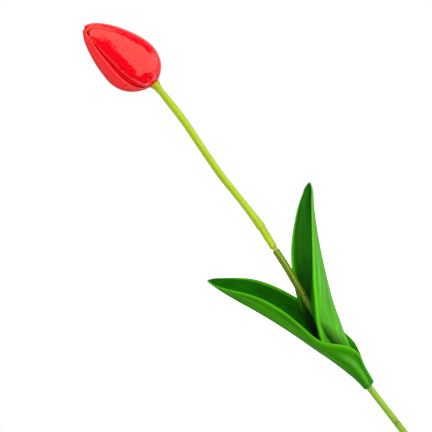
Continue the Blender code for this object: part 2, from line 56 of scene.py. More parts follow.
# Sizes repeated from the part, in millimetres.
WIRE_RADIUS = 0.9
COATING_BORE = 1.0
COATING_RADIUS = 1.65
SLEEVE_BORE = 1.75
LEAF_FIT = 0.25
SEAT_GAP = 0.3
LOWER_RADIUS = 2.17
LOWER_WALL = 0.42
MIDDLE_WALL = 0.55
LOWER_NECK = (28.45, 29.15)
INNER_NECK = (125.75, 126.25)
UPPER_NECK = (159.0, 161.0)
CUP_START = 285.1
CUP_DEPTH = 1.6
CUP_FLARE = 1.35
STEM_LEAN = (
    (0, 0), (78, 0), (86, 0), (94, 0.1), (105, 0.6), (126, 2.3), (147.7, 5.0), (160, 6.0),
    (176, 7.6), (198, 7.8), (216, 7.5), (236, 8.5), (259, 9.9), (275, 9.8), (290, 9.4),
)

# Sleeves as rows of height, wall, and wear and shade: the share of the worn end's colour. The
# upper sleeve's last rows, on the cup's rim, are painted shade and a painted reflection of the
# bud.
FOOT_PROFILE = (
    (0, 0.36, 0.8), (0.2, 0.4, 0.4), (2, 0.4, 0.0), (26, 0.4, 0.0), (27.95, 0.4, 0.3),
    (28.3, 0.32, 0.6), (28.45, 0.18, 0.8),
)
UPPER_PROFILE = (
    (161.0, 0.26, 0.8), (161.15, 0.45, 0.6), (161.5, 0.58, 0.3), (164, 0.58, 0.0),
    (174.6, 0.56, 0.0), (175.4, 0.62, 0.2), (175.9, 0.92, 0.35), (176.6, 0.97, 0.1),
    (177.6, 0.92, 0.0), (179.5, 0.78, 0.0), (184, 0.63, 0.0), (190, 0.50, 0.0),
    (195, 0.38, 0.0), (216, 0.44, 0.0), (237, 0.47, 0.0), (267.7, 0.56, 0.0),
    (274, 0.44, 0.0), (279.7, 0.34, 0.0), (282.5, 0.52, 0.0), (284.6, 1.0, 0.2),
    (285.8, 1.5, 0.8), (286.3, 1.75, 1.0), (286.7, 1.66, 1.0),
)
# Painted shade by height, added to the wear: on the sleeves where the leaves shade them, and
# on the coating where it shows in the slit. The middle sleeve's ends have a share of a rounded
# end's wear.
LOWER_LEAF_SHADE = ((84, 0), (100, 0.9))
MIDDLE_LEAF_SHADE = ((130, 0.5), (152, 0))
MIDDLE_END_WEAR = 0.6
COATING_SLIT_SHADE = ((127, 0), (128, 1), (157, 1), (158, 0))
# The middle sleeve's slit, in degrees, and the painted shade on its edges by the distance
# from its top.
SLIT_ANGLE = 11
SLIT_DIRECTION = -104
SLIT_EDGE_SHADE = ((9, 0.7), (4, 0.1))

SLEEVE_SIDES = 40
COATING_SIDES = 24
WIRE_SIDES = 16
SLEEVE_STEP = 1.5
SLEEVE_LEAST_STEP = 0.2
# The wire and its coating are drawn in two lengths, each with one neck, where the stem can
# bend. Round a neck, and past its ends, the rows lie closer together.
WIRE_SPLIT = 95.0
WIRE_STEP = 3.0
NECK_STEP = 0.5
NECK_ZONES = ((24, 34), (155, 165))

COLLAR_HEIGHT = 57.0
LEAF_THICKNESS = 1.0
LEAF_BASE_THICKNESS = 0.7
SHEATH_EASE = 0.65
KEEL_BASE = LOWER_RADIUS + LEAF_FIT + LEAF_BASE_THICKNESS / 2
FAR_BASE = KEEL_BASE + LEAF_BASE_THICKNESS + SEAT_GAP + SHEATH_EASE
SEAM_TURN = 176.0

# Leaves by height over the collar. Keel: its distance from the stem, less what it has at the
# base. Width: the flattened half. Turn: a half's angle from keel to margin. Fold: how much
# of the turn is crowded at the keel. Swing: how far a margin is shifted sideways.
LOW_DIRECTION = 155.0
LOW_KEEL = (
    (0, 0), (8, 0.8), (16, 2.6), (25, 4.9), (36, 8.5), (52, 14.7), (66, 20.6),
    (81, 27.4), (95, 34.0), (107, 39.0), (112, 40.8),
)
LOW_GROWTH = (
    (0, 0), (8, 3.6), (16, 10.0), (22, 11.4), (28, 10.4), (40, 8.4), (52, 8.9), (66, 8.5),
    (80, 7.6), (95, 4.2), (106, -2.7), (110, -6.8), (112, -10.1),
)
LOW_TURN = (
    (0, SEAM_TURN), (14, 175), (22, 150), (36, 88), (52, 70), (66, 69), (80, 66), (112, 30),
)
LOW_FOLD = ((0, 0), (16, 0.2), (36, 0.2), (60, 2.8), (112, 2.4))
LOW_FRONT_SWING = ((10, 0), (22, 0.6), (34, 2.0), (48, 1.2), (64, 0), (112, 0))
LOW_BACK_SWING = ((30, 0), (44, 1.4), (60, 3.6), (74, 3.4), (112, 0.0))

TALL_DIRECTION = 21.0
TALL_KEEL = (
    (1, 0), (8, 0.4), (16, 1.5), (24, 2.9), (32, 4.7), (42, 8.0), (56, 12.8), (72, 20.0),
    (92, 30.5), (108, 40.8), (119, 48.8), (122, 50.2),
)
TALL_WIDTH = (
    (1, 2.3), (8, 3.8), (16, 7.6), (25, 14.4), (32, 18.4), (42, 20.2), (56, 22.2), (72, 23.5),
    (92, 21.4), (106, 15.8), (117, 8.6), (120.6, 4.8), (122, 1.2),
)
TALL_TURN = ((1, 58), (14, 101), (25, 117), (42, 96), (56, 75), (72, 58), (122, 24))
TALL_FOLD = ((1, 0), (16, 1.0), (36, 3.0), (60, 2.0), (122, 2.6))
# The front margin's lip flares at the base and is rolled in higher up, by an angle. Beside
# its base the leaf is dented towards the stem.
TALL_LIP = (
    (1, 0), (16, 0), (26, 0.6), (33, 1.3), (38, 1.5), (43, 0.9), (48, 1.8), (53, 3.3),
    (58, 2.9), (65, 1.6), (80, 0.2), (92, 0), (122, 0),
)
TALL_ROLL = (
    (1, 0), (16, 0), (24, -15), (32, -30), (38, -20), (43, 15), (48, 42), (53, 50),
    (58, 55), (65, 55), (80, 25), (92, 0), (122, 0),
)
TALL_DENT = (
    (1, 0), (12, 0), (20, 0.6), (27, 1.15), (33, 1.2), (39, 0.7), (46, 0.1), (54, 0), (122, 0),
)
FLAT = ((0, 0), (1, 0))
# A rolled lip's turn takes this length, and starts this share of it before the lip.
ROLL_LENGTH = 2.0
ROLL_LEAD = 0.75
# Below this fold a half turns evenly from its keel to its margin.
LEAST_FOLD = 0.05
# Where a dent starts and how long it is, as shares of the way to the margin.
DENT_START = 0.3
DENT_LENGTH = 0.6

# The leaves' relief, in millimetres by height.
LEAF_SWELL = ((10, LEAF_BASE_THICKNESS), (30, LEAF_THICKNESS))
MARGIN_THINNING = 0.5
RIB_WIDTH = 0.9
RIB_HEIGHT = ((4, 0), (20, 0.22), (100, 0.16), (118, 0.05))
RIB_GROOVE_SHARE = 0.6
VEINS = 11
VEIN_HEIGHT = 0.014
VEIN_FADE = ((2, 0.2), (16, 1), (108, 1), (120, 0))

# The leaves' painted light and shade: shares by height. A place is where across the leaf one
# lies or starts, and its width: shares of the way to the margin, or millimetres past the tall
# leaf's ridge. Margin lines and the ridge are painted highlights, the sheen is a painted sheen,
# the pale shares are painted light, and the shades, the tuck line and the lip's strip are
# painted shade.
MARGIN_HIGHLIGHT_PLACE = (0.90, 0.06)
LOW_HIGHLIGHT = 0.65
LOW_SHEEN_PLACE = (0.66, 0.08)
LOW_SHEEN = ((0, 0.5), (6, 0.8), (20, 0.8), (28, 0))
LOW_SHADE = ((0, 0.5), (8, 0.45), (14, 0.3), (30, 0))
LOW_NOTCH_SHADE_PLACE = (0.875, 0.02)
LOW_NOTCH_SHADE = ((11, 0), (13, 1), (18, 1), (20, 0))
LOW_PAINTED_LIGHT_PLACE = (0.6, 0.2)
LOW_PAINTED_LIGHT = ((4, 0), (10, 1), (34, 1), (44, 0))
TALL_RIDGE_PLACE = (-0.5, 0.75)
TALL_LIP_SHADE_PLACE = (0.1, 0.5)
TALL_BACK_HIGHLIGHT = ((54, 0), (74, 1))
TALL_BACK_SHADE = ((44, 0.95), (64, 0.55), (84, 0))
TALL_VALLEY_PLACE = ((30, 0.65), (34, 0.69), (38, 0.75), (42, 0.82), (46, 0.9))
TALL_VALLEY_WIDTH = ((30, 0.50), (38, 0.38), (46, 0.15))
TALL_VALLEY_EDGE = 1 / 12
TALL_VALLEY_SHADE = ((28, 1), (36, 1), (42, 0.8), (50, 0))
TALL_PAINTED_LIGHT_PLACE = (0.1, 1 / 3)
TALL_PAINTED_LIGHT = ((70, 0), (90, 1))
TALL_PAINTED_LIGHT_SHARE = 0.05

# The bud: an egg with its widest ring at the waist, leaning from the stem.
BUD_LEAN = -15.3
BUD_RADIUS = 17.5
BUD_WAIST = 21.0
BUD_POINT = 35.6
BUD_BASE_POWER = 2.3
BUD_POINT_POWER = 1.42
BUD_BLUNTNESS = 0.6
BUD_BOW = ((0, 0), (4, 0), (11, -0.55), (20, -0.95), (32, -0.65), (44, -0.2), (56.6, 0))
BUD_SEAT = Vector((9.1, 0, 295.49))
BUD_SEAT_RADIUS = 9.0
PETAL_THICKNESS = 1.0
PETAL_MARGIN_SHARE = 0.4
# How far a margin draws in to the bud's axis: as a broad crown, and as a narrow roll.
TUCKED_MARGIN = (0.055, 0.06)
LAPPING_MARGIN = (0.015, 0.0)
# The powers of the share of the way to the margin that a roll and its thinning follow.
ROLL_POWER = 8
THINNING_POWER = 6
# How fully a petal closes at its tip, and how far its pale margin, a painted highlight,
# spreads below the tip.
TIP_ROUNDING = 0.97
TIP_PALE_LENGTH = 25
# The outer petals start lower than in the part, to close over the stem's cup.
OUTER_START = 0.4
INNER_START = 1.7
INNER_TIP = 53.5
INNER_TIP_LENGTH = 5.0
INNER_PETAL_TURN = -37.2
INNER_HALF_ANGLE = 57
# Seams between the outer petals and half their openings: degrees by height, 0 at the front.
# Where a gap is negative, the first petal laps the other.
LEFT_SEAM = (
    (1, -84), (5.7, -61.6), (9.1, -51.5), (13.4, -44), (17.4, -40.5), (21.7, -37.3),
    (26.6, -35), (36.7, -33.4), (42.2, -32.6), (45.6, -30.4), (51, -28.5), (55.5, -27),
)
LEFT_GAP = (
    (1, 2), (3.5, 6), (5.7, 8.6), (9.1, 8.6), (13.4, 7.7), (17.4, 7.1), (21.7, 6.3),
    (31.6, 4.8), (36.7, 4.4), (42.2, 3.2), (45.6, 1.2), (51, 0.6), (55.5, 0.6),
)
RIGHT_SEAM = (
    (1, 104), (3.5, 98), (6.6, 85), (11, 61.5), (17.8, 52), (24.7, 50.7), (30.9, 47.7),
    (36.5, 41.5), (42.5, 37.9), (47.2, 32.4), (50, 24), (50.9, 14), (51.6, -12), (52.4, -21),
    (55.5, -24),
)
RIGHT_GAP = (
    (1, -1), (6.6, -2), (10, -3), (14, -4), (33, -4), (37, -3), (42.5, 1), (47.2, 1), (55, 1),
)
BACK_SEAM = ((1, 184), (54, 184))
BACK_GAP = ((1, 2), (14, 3.5), (42, 3.5), (54, 3))

# How finely the pieces are drawn.
LEAF_ROWS = 150
LEAF_COLUMNS = 34
LEAF_SUBSTEPS = 4
PETAL_ROWS = 72
PETAL_COLUMNS = 48
# A shell's rim stands out by this share of its thickness.
RIM_SHARE = 0.45
# The lengths along a blade and along the stem that make one unit of UV, in millimetres.
BLADE_UV_LENGTH = 50
STEM_UV_LENGTH = 20

# The stage, in metres. Most cards lie on the floor and stand up at the room's end.
FLOOR_HALF = 4
FLOOR_DROP = 0.0002
ROOM_RADIUS = 1.3
ROOM_HEIGHT = 1.85
CARD_NEAR = 0.142
FRONT_NEAR = 0.28
SIDE_NEAR = 0.3
CARD_CENTRE = 0.01
CARD_LIFT = 0.001
CARD_STEP = 10
BRIGHT = 2.0
UNLIT = 0.02
# The floor's glow where it is seen, which grows with the distance from the object.
GLOW_DISTANCES = (0.3, 1.4)
GLOW_STRENGTHS = (0.45, 1.0)
LIGHT_DISTANCE = 1.5
LIGHT_TARGET = (0, 0, 0.2)
CAMERA_PLACE = (-0.0104, -0.744, 0.1984)
CAMERA_ROLL = 37.65
CAMERA_LENS = 100
CAMERA_SENSOR = 36


def smooth(table, position):
    """Value at a position on a smooth curve through a table's points."""
    places = np.array([row[0] for row in table], float)
    values = np.array([row[1] for row in table], float)
    slopes = np.gradient(values, places)
    place = min(max(position, places[0]), places[-1])
    i = min(max(int(np.searchsorted(places, place)) - 1, 0), len(places) - 2)
    span = places[i + 1] - places[i]
    t = (place - places[i]) / span
    start = values[i] * (2 * t**3 - 3 * t**2 + 1) + slopes[i] * span * (t**3 - 2 * t**2 + t)
    end = values[i + 1] * (3 * t**2 - 2 * t**3) + slopes[i + 1] * span * (t**3 - t**2)
    return start + end


def linear(table, positions):
    """Values at one or more positions on straight lines through a table's points."""
    return np.interp(positions, *zip(*table))


def rise(values, start, width):
    """0 up to a start and 1 from a width past it, with a straight rise between."""
    return np.clip((values - start) / width, 0, 1)


def bell(values, centre, width):
    """1 at the centre, falling smoothly to 0 at about two widths from it."""
    return np.exp(-(((values - centre) / width) ** 2))


def stem_point(height):
    """Centre of the stem at a height."""
    return np.array((smooth(STEM_LEAN, height), 0.0, height))


# Materials.


class Shader:
    """A Principled material with short calls for the nodes that feed it."""

    def __init__(self, name, roughness, metallic=0.0, **inputs):
        self.material = bpy.data.materials.new(name)
        self.material.use_nodes = True
        self.nodes = self.material.node_tree.nodes
        self.links = self.material.node_tree.links
        self.shader = self.nodes["Principled BSDF"]
        self.shader.inputs["Roughness"].default_value = roughness
        self.shader.inputs["Metallic"].default_value = metallic
        for socket, value in inputs.items():
            self.shader.inputs[socket.replace("_", " ")].default_value = value

    def node(self, kind, settings=(), **inputs):
        """A node with its settings, and its inputs by index (i0, i1) or name."""
        node = self.nodes.new("ShaderNode" + kind)
        for key, value in dict(settings).items():
            setattr(node, key, value)
        for key, value in inputs.items():
            socket = node.inputs[int(key[1:]) if key[0] == "i" and key[1:].isdigit() else key]
            if isinstance(value, bpy.types.NodeSocket):
                self.links.new(value, socket)
            else:
                socket.default_value = value
        return node

    def math(self, operation, a, b):
        """A math node's result."""
        return self.node("Math", {"operation": operation}, i0=a, i1=b).outputs[0]

    def attribute(self, name):
        """A number kept on the mesh's points."""
        return self.node("Attribute", {"attribute_name": name}).outputs["Fac"]

    def scaled(self, vector, x, y, z):
        """A vector multiplied along each axis."""
        settings = {"operation": "MULTIPLY"}
        return self.node("VectorMath", settings, i0=vector, i1=(x, y, z)).outputs[0]

    def noise(self, vector, scale, detail=3.0, roughness=0.5):
        """Noise from 0 to 1."""
        inputs = {"Vector": vector, "Scale": scale, "Detail": detail, "Roughness": roughness}
        return self.node("TexNoise", **inputs).outputs[0]

    def ramp(self, value, *stops):
        """A value turned into grey by two stops of place and grey."""
        node = self.node("ValToRGB", i0=value)
        for element, (place, grey) in zip(node.color_ramp.elements, stops):
            element.position = place
            element.color = (grey, grey, grey, 1.0)
        return node.outputs[0]

    def mix(self, share, a, b, blend="MIX"):
        """Two colours mixed."""
        node = self.nodes.new("ShaderNodeMix")
        node.data_type = "RGBA"
        node.blend_type = blend
        for socket, value in ((node.inputs[0], share), (node.inputs[6], a), (node.inputs[7], b)):
            if isinstance(value, bpy.types.NodeSocket):
                self.links.new(value, socket)
            elif isinstance(value, tuple):
                socket.default_value = (*value, 1.0)
            else:
                socket.default_value = value
        return node.outputs[2]

    def finish(self, tone, roughness, relief, distance, strength):
        """Links the colour, the roughness if any, and the relief, and gives the material."""
        self.links.new(tone, self.shader.inputs["Base Color"])
        if roughness is not None:
            self.links.new(roughness, self.shader.inputs["Roughness"])
        bump = self.node("Bump", Height=relief, Distance=distance, Strength=strength)
        self.links.new(bump.outputs[0], self.shader.inputs["Normal"])
        return self.material


def colour(red, green, blue):
    """A colour written as on a screen, from 0 to 255, as linear light."""
    return tuple(
        (v / 255 / 12.92) if v <= 10 else ((v / 255 + 0.055) / 1.055) ** 2.4
        for v in (red, green, blue)
    )


def petal_material(name, body, deep, edge_highlight, roughness, gloss):
    """Glossy moulded petal: lengthwise fibres, a lumpy peel, light through it, and a painted
    highlight on its margins.
    """
    s = Shader(
        name, roughness, Specular_IOR_Level=gloss, Subsurface_Weight=0.3,
        Subsurface_Radius=(1.0, 0.12, 0.1), Subsurface_Scale=0.003,
    )
    where = s.node("UVMap").outputs[0]
    place = s.node("TexCoord").outputs["Object"]
    fibres = s.noise(s.scaled(where, 42, 2.2, 1), 1.0, 4.0, 0.6)
    clouds = s.noise(place, 90, 2.0)
    tone = s.mix(s.ramp(fibres, (0.35, 0.0), (0.75, 0.35)), body, deep)
    tone = s.mix(s.ramp(clouds, (0.4, 0.0), (0.8, 0.25)), tone, deep)
    # The margins and the tip take the edge colour: a painted highlight.
    tone = s.mix(s.ramp(s.attribute("margin"), (0.93, 0.0), (1.0, 0.6)), tone, edge_highlight)
    peel = s.noise(place, 480, 1.5)
    waves = s.noise(s.scaled(where, 16, 3, 1), 1.0, 3.0)
    relief = s.math("ADD", peel, s.math("MULTIPLY", waves, 0.5))
    rough = s.ramp(clouds, (0.3, roughness * 0.85), (0.8, roughness * 1.25))
    return s.finish(tone, rough, relief, distance=0.0002, strength=0.8)


def leaf_material(
    name, outer, outer_light, inner, inner_deep, pale, margin, shade_and_sheen_strip, shade, roughness, gloss
):
    """Moulded leaf: parallel veins, blotched streaks, a darker inner face, and painted light:
    highlights on the margins, a sheen, shade, and pale light on the inner face.
    """
    s = Shader(name, roughness, Specular_IOR_Level=gloss, Specular_Tint=(0.5, 1.0, 0.25, 1.0))
    where = s.node("UVMap").outputs[0]
    streak = s.noise(s.scaled(where, 17, 1.1, 1), 1.0, 5.0, 0.6)
    fine = s.noise(s.scaled(where, 90, 2.0, 1), 1.0, 3.0, 0.6)
    broad = s.noise(s.scaled(where, 5, 2.2, 1), 1.0, 3.0)
    outside = s.mix(s.ramp(streak, (0.36, 0.0), (0.66, 1.0)), outer, outer_light)
    outside = s.mix(s.ramp(fine, (0.58, 0.0), (0.75, 0.35)), outside, margin)
    inside = s.mix(s.ramp(broad, (0.32, 0.0), (0.68, 1.0)), inner_deep, inner)
    inside = s.mix(s.ramp(streak, (0.4, 0.0), (0.7, 0.25)), inside, outer)
    tone = s.mix(s.attribute("inside"), outside, inside)
    tone = s.mix(s.ramp(broad, (0.35, 0.0), (0.75, 0.25)), tone, inner, "MULTIPLY")
    # Pale painted light on the inner faces of the leaves' back halves.
    tone = s.mix(s.math("MULTIPLY", s.attribute("pale"), s.attribute("inside")), tone, pale)
    tone = s.mix(s.attribute("shade"), tone, shade)
    # A painted sheen on the low leaf's sheath, and painted shade on the tall leaf's rolled lip.
    tone = s.mix(s.attribute("shade_and_sheen_strip"), tone, shade_and_sheen_strip)
    # A painted highlight along the margins and the tall leaf's ridge.
    tone = s.mix(s.math("MULTIPLY", s.attribute("highlight"), 0.9), tone, margin)
    relief = s.math("ADD", streak, s.math("MULTIPLY", fine, 0.5))
    rough = s.ramp(fine, (0.3, roughness * 0.85), (0.75, roughness * 1.3))
    return s.finish(tone, rough, relief, distance=0.00022, strength=0.7)


def stem_material(name, body, light, deep, worn_and_shaded, roughness):
    """Moulded stem sleeve: long flow streaks, faint clouds and darker, worn ends, whose colour
    also gives painted shade, and a painted reflection of the bud on the cup's rim.
    """
    s = Shader(name, roughness, Specular_IOR_Level=0.5, Specular_Tint=(1.0, 1.0, 0.7, 1.0))
    where = s.node("UVMap").outputs[0]
    streak = s.noise(s.scaled(where, 3.2, 0.22, 1), 1.0, 2.0, 0.4)
    cloud = s.noise(s.scaled(where, 1.6, 0.8, 1), 1.0, 2.0)
    tone = s.mix(s.ramp(streak, (0.38, 0.0), (0.62, 1.0)), body, light)
    tone = s.mix(s.ramp(cloud, (0.5, 0.0), (0.8, 0.4)), tone, deep)
    # The worn ends' colour, also laid on as painted shade and, on the cup's rim, as a painted
    # reflection of the bud.
    tone = s.mix(s.attribute("wear_and_shade"), tone, worn_and_shaded)
    rough = s.ramp(streak, (0.3, roughness * 0.9), (0.75, roughness * 1.15))
    return s.finish(tone, rough, streak, distance=0.00008, strength=0.4)


def steel_material():
    """Drawn steel wire, with fine lines along it."""
    s = Shader("wire_steel", 0.3, 1.0)
    where = s.node("UVMap").outputs[0]
    lines = s.noise(s.scaled(where, 60, 0.6, 1), 1.0, 4.0)
    tone = s.mix(lines, (0.42, 0.42, 0.43), (0.66, 0.66, 0.67))
    rough = s.ramp(lines, (0.3, 0.22), (0.7, 0.42))
    return s.finish(tone, rough, lines, distance=0.00003, strength=0.5)


def foam_material():
    """Closed foam with small cells."""
    s = Shader("core_foam", 0.9)
    place = s.node("TexCoord").outputs["Object"]
    cells = s.node("TexVoronoi", Vector=place, Scale=1400.0).outputs[0]
    tone = s.mix(cells, colour(214, 96, 88), colour(186, 66, 60))
    return s.finish(tone, None, cells, distance=0.0002, strength=0.6)


# Each petal's edge colour is a painted highlight on its margins and tip.
RED = petal_material(
    "petal_gloss", body=colour(255, 0, 30), deep=colour(240, 0, 24), edge_highlight=colour(255, 40, 44),
    roughness=0.09, gloss=0.5,
)
# The left petal's copy of the red: its paler body is a painted reflection, and its pinker edge a
# painted highlight; its gloss is lower.
LEFT_RED_PAINTED_LIGHT = petal_material(
    "petal_satin", body=colour(255, 26, 42), deep=colour(255, 14, 30), edge_highlight=colour(255, 96, 80),
    roughness=0.34, gloss=0.3,
)
INNER_RED = petal_material(
    "petal_gloss_inner", body=colour(246, 0, 24), deep=colour(226, 0, 16),
    edge_highlight=colour(250, 10, 26), roughness=0.4, gloss=0.02,
)
# In the leaves, the margin colour is that of the painted highlights and of fine flecks, pale is
# painted light, shade is painted shade, and the strip a painted sheen on the low leaf and painted
# shade on the tall leaf.
LOW_GREEN = leaf_material(
    "leaf_low", outer=colour(40, 124, 0), outer_light=colour(70, 158, 6),
    inner=colour(14, 110, 0), inner_deep=colour(2, 66, 0), pale=colour(100, 250, 10),
    margin=colour(92, 204, 12), shade_and_sheen_strip=colour(86, 172, 50), shade=colour(8, 88, 14),
    roughness=0.42, gloss=0.05,
)
TALL_GREEN = leaf_material(
    "leaf_tall", outer=colour(62, 154, 14), outer_light=colour(104, 190, 56),
    inner=colour(10, 108, 0), inner_deep=colour(0, 62, 0), pale=colour(100, 250, 10),
    margin=colour(88, 204, 10), shade_and_sheen_strip=colour(12, 90, 0), shade=colour(0, 14, 0),
    roughness=0.40, gloss=0.14,
)
# The worn colours are also painted shade: on the lower and middle sleeves where the leaves shade
# them, on the middle sleeve's slit edges and on the coating in the slit. The lime one is also
# painted shade and a painted reflection of the bud on the cup's rim.
LIME = stem_material(
    "stem_lime", body=colour(154, 184, 0), light=colour(164, 196, 10), deep=colour(142, 170, 0),
    worn_and_shaded=colour(180, 150, 0), roughness=0.30,
)
OLIVE = stem_material(
    "stem_olive", body=colour(100, 136, 0), light=colour(122, 158, 14), deep=colour(82, 108, 2),
    worn_and_shaded=colour(82, 96, 2), roughness=0.38,
)
GREEN = stem_material(
    "stem_green", body=colour(126, 170, 34), light=colour(148, 190, 66),
    deep=colour(108, 152, 26), worn_and_shaded=colour(70, 112, 0), roughness=0.4,
)
COATING = stem_material(
    "coating_green", body=colour(140, 168, 40), light=colour(164, 190, 70),
    deep=colour(104, 128, 22), worn_and_shaded=colour(100, 122, 16), roughness=0.4,
)
STEEL = steel_material()
FOAM = foam_material()


# Meshes.


def make_piece(name, points, faces, uvs, attributes, material, body, node, sharp=None):
    """A piece from points in millimetres that stands for a node and rides on a body, if any.

    Edges are sharp from an angle on, in degrees, if it is given.
    """
    mesh = bpy.data.meshes.new(name)
    mesh.from_pydata([tuple(np.array(p) * MM) for p in points], [], faces)
    mesh.update()
    layer = mesh.uv_layers.new(name="UVMap")
    corners = np.zeros(len(mesh.loops), int)
    mesh.loops.foreach_get("vertex_index", corners)
    layer.data.foreach_set("uv", np.array(uvs, float)[corners].ravel())
    for key, values in attributes.items():
        data = mesh.attributes.new(key, "FLOAT", "POINT").data
        data.foreach_set("value", np.array(values, np.float32))
    mesh.shade_smooth()
    if sharp is not None:
        mesh.set_sharp_from_angle(angle=math.radians(sharp))
    mesh.materials.append(material)
    piece = bpy.data.objects.new(name, mesh)
    bpy.context.scene.collection.objects.link(piece)
    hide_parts(node)
    if body:
        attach(piece, body)
    return piece


def shell(outer, inner, uvs, flip=False):
    """A closed shell between two grids of points, with a rounded rim.

    Gives the points, the faces, the points' uvs, for each point 0 on the outer
    face, 1 on the inner face and 0.5 on the rim, and the rim's rows and columns.
    """
    rows, columns = outer.shape[:2]
    half = rows * columns
    border = [(0, c) for c in range(columns)] + [(r, columns - 1) for r in range(1, rows)]
    border += [(rows - 1, c) for c in range(columns - 2, -1, -1)]
    border += [(r, 0) for r in range(rows - 2, 0, -1)]
    middle = (outer + inner) / 2
    rim = []
    for r, c in border:
        near = middle[min(max(r, 1), rows - 2), min(max(c, 1), columns - 2)]
        away = middle[r, c] - near
        away /= max(np.linalg.norm(away), 1e-6)
        rim.append(middle[r, c] + away * np.linalg.norm(outer[r, c] - inner[r, c]) * RIM_SHARE)
    points = np.concatenate((outer.reshape(-1, 3), inner.reshape(-1, 3), np.array(rim)))
    flat = uvs.reshape(-1, 2)
    all_uvs = np.concatenate((flat, flat, [uvs[r, c] for r, c in border]))
    side = np.concatenate((np.zeros(half), np.ones(half), np.full(len(border), 0.5)))
    faces = []
    for r in range(rows - 1):
        for c in range(columns - 1):
            a = r * columns + c
            quad = (a, a + 1, a + columns + 1, a + columns)
            faces.append(quad)
            faces.append(tuple(half + i for i in reversed(quad)))
    count = len(border)
    for k in range(count):
        n = (k + 1) % count
        a = border[k][0] * columns + border[k][1]
        b = border[n][0] * columns + border[n][1]
        faces.append((b, a, 2 * half + k, 2 * half + n))
        faces.append((2 * half + n, 2 * half + k, half + a, half + b))
    if flip:
        faces = [tuple(reversed(face)) for face in faces]
    return points, faces, all_uvs, side, border


# Leaves.


def half_section(h, width, turn, fold, swing=FLAT, lip=FLAT, roll=FLAT, dent=FLAT):
    """Points across half a leaf at a height, from its keel, as (sideways, inwards) pairs."""
    turn, fold, swing, lip, roll, dent = [
        smooth(table, h) for table in (turn, fold, swing, lip, roll, dent)
    ]
    steps = LEAF_COLUMNS * LEAF_SUBSTEPS
    step = (width + lip) / steps
    place = (np.arange(steps) + 0.5) * step
    share = t = np.minimum(place / width, 1)
    if fold >= LEAST_FOLD:
        share = (1 - np.exp(-fold * t)) / (1 - math.exp(-fold))
    rolled = np.clip((place - width) / ROLL_LENGTH + ROLL_LEAD, 0, 1)
    heading = np.radians(turn * share + roll * rolled)
    side = np.concatenate(([0], np.cumsum(np.cos(heading)))) * step
    inwards = np.concatenate(([0], np.cumsum(np.sin(heading)))) * step
    reach = np.arange(LEAF_COLUMNS + 1) / LEAF_COLUMNS
    hollow = np.sin(math.pi * rise(reach, DENT_START, DENT_LENGTH)) ** 2
    side = side[::LEAF_SUBSTEPS] + swing * reach**2 - dent * hollow
    return list(zip(side, inwards[::LEAF_SUBSTEPS]))


def leaf_grid(direction, keel, width, turn, fold, first, second):
    """Middle surface of a leaf: its points, and their way across from the keel, in millimetres."""
    angle = math.radians(direction)
    out = np.array((math.cos(angle), math.sin(angle), 0.0))
    side = np.array((-math.sin(angle), math.cos(angle), 0.0))
    up = np.array((0.0, 0.0, 1.0))
    low, high = keel[0][0], keel[-1][0]
    grid = []
    ways = []
    for i in range(LEAF_ROWS):
        # The rows lie closer together towards the tip.
        u = i / (LEAF_ROWS - 1)
        h = low + (high - low) * (0.5 * u + 0.5 * math.sin(u * math.pi / 2))
        step = 0.5
        slope = (smooth(keel, h + step) - smooth(keel, h - step)) / (
            min(h + step, high) - max(h - step, low)
        )
        inwards = (slope * up - out) / math.hypot(slope, 1)
        centre = out * (KEEL_BASE + smooth(keel, h)) + up * (COLLAR_HEIGHT + h)
        left, right = [
            [
                centre + way * side * s + inwards * n
                for s, n in half_section(h, width(h), turn, fold, **tables)
            ]
            for way, tables in ((-1, first), (1, second))
        ]
        grid.append(left[:0:-1] + right)
        ends = [width(h) + smooth(tables.get("lip", FLAT), h) for tables in (first, second)]
        reach = np.arange(1, LEAF_COLUMNS + 1) / LEAF_COLUMNS
        ways.append(np.concatenate((-ends[0] * reach[::-1], [0], ends[1] * reach)))
    return np.array(grid), np.array(ways)


def make_leaf(name, grid, ways, looks, material, body, node):
    """A leaf with a rib along its keel, raised veins, and thin rounded margins.

    The looks give numbers for the points from their height, their way across
    and their share of the way to the margin.
    """
    across = np.gradient(grid, axis=1)
    along = np.gradient(grid, axis=0)
    normal = np.cross(across, along)
    normal /= np.linalg.norm(normal, axis=2, keepdims=True)
    keel = grid[:, LEAF_COLUMNS]
    near_base = 5
    outwards = np.dot(normal[near_base, LEAF_COLUMNS], keel[near_base] * (1, 1, 0)) >= 0
    if not outwards:
        normal = -normal
    height = keel[:, 2] - COLLAR_HEIGHT
    offset = np.linspace(-1, 1, grid.shape[1])
    margin = np.abs(offset) ** 4
    half = linear(LEAF_SWELL, height)[:, None] * (1 - MARGIN_THINNING * margin[None, :]) / 2
    rib = bell(ways, 0, RIB_WIDTH) * linear(RIB_HEIGHT, height)[:, None]
    waves = VEIN_HEIGHT * np.cos(offset * 2 * math.pi * VEINS)[None, :]
    veins = waves * linear(VEIN_FADE, height)[:, None] * (1 - margin)[None, :]
    outer = grid + normal * (half + rib + veins)[..., None]
    inner = grid - normal * (half - rib * RIB_GROOVE_SHARE + veins)[..., None]
    steps = np.linalg.norm(np.diff(keel, axis=0), axis=1)
    length = np.concatenate(([0], np.cumsum(steps)))
    uvs = np.stack(
        np.broadcast_arrays(offset[None, :] * 0.5 + 0.5, length[:, None] / BLADE_UV_LENGTH),
        axis=2,
    ).astype(float)
    points, faces, all_uvs, side, border = shell(outer, inner, uvs, outwards)
    attributes = {"inside": side}
    for key, values in looks(height[:, None], ways, offset[None, :]).items():
        values = np.broadcast_to(values, half.shape)
        at_rim = [values[r, c] for r, c in border]
        attributes[key] = np.concatenate((values.ravel(), values.ravel(), at_rim))
    return make_piece(name, points, faces, all_uvs, attributes, material, body, node)


